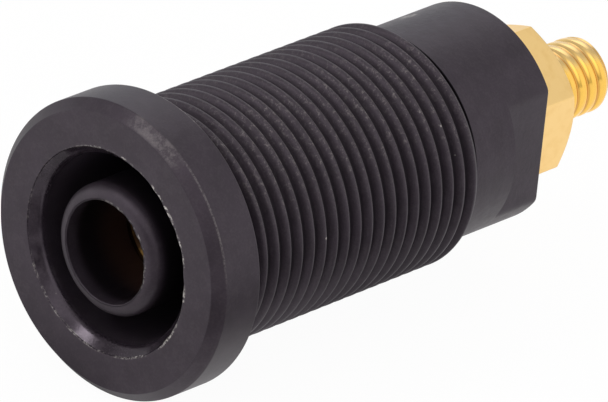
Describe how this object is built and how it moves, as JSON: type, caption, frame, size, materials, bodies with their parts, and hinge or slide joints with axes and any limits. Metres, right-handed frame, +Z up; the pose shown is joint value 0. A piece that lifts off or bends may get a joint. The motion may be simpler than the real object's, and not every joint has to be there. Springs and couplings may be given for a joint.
{
  "type": "panel-mount safety banana socket",
  "caption": "Round flanged panel socket with threaded barrel, shrouded plug recess and gold-plated contact that ends in a hexagon collar and a threaded stud.",
  "frame": {"origin": "centre of the flange's back face, where the panel's front lies", "axes": "+Y along the socket's axis from the front face towards the stud, +X out of one wrench flat, +Z up"},
  "size_m": [0.0144, 0.0323, 0.0144],
  "materials": {
    "black_plastic": "satin moulded black",
    "gold_plate": "gold plated, satin collar and polished stud"
  },
  "bodies": {
    "root": {"housing": "black_plastic", "contact": "gold_plate"}
  },
  "joints": []
}
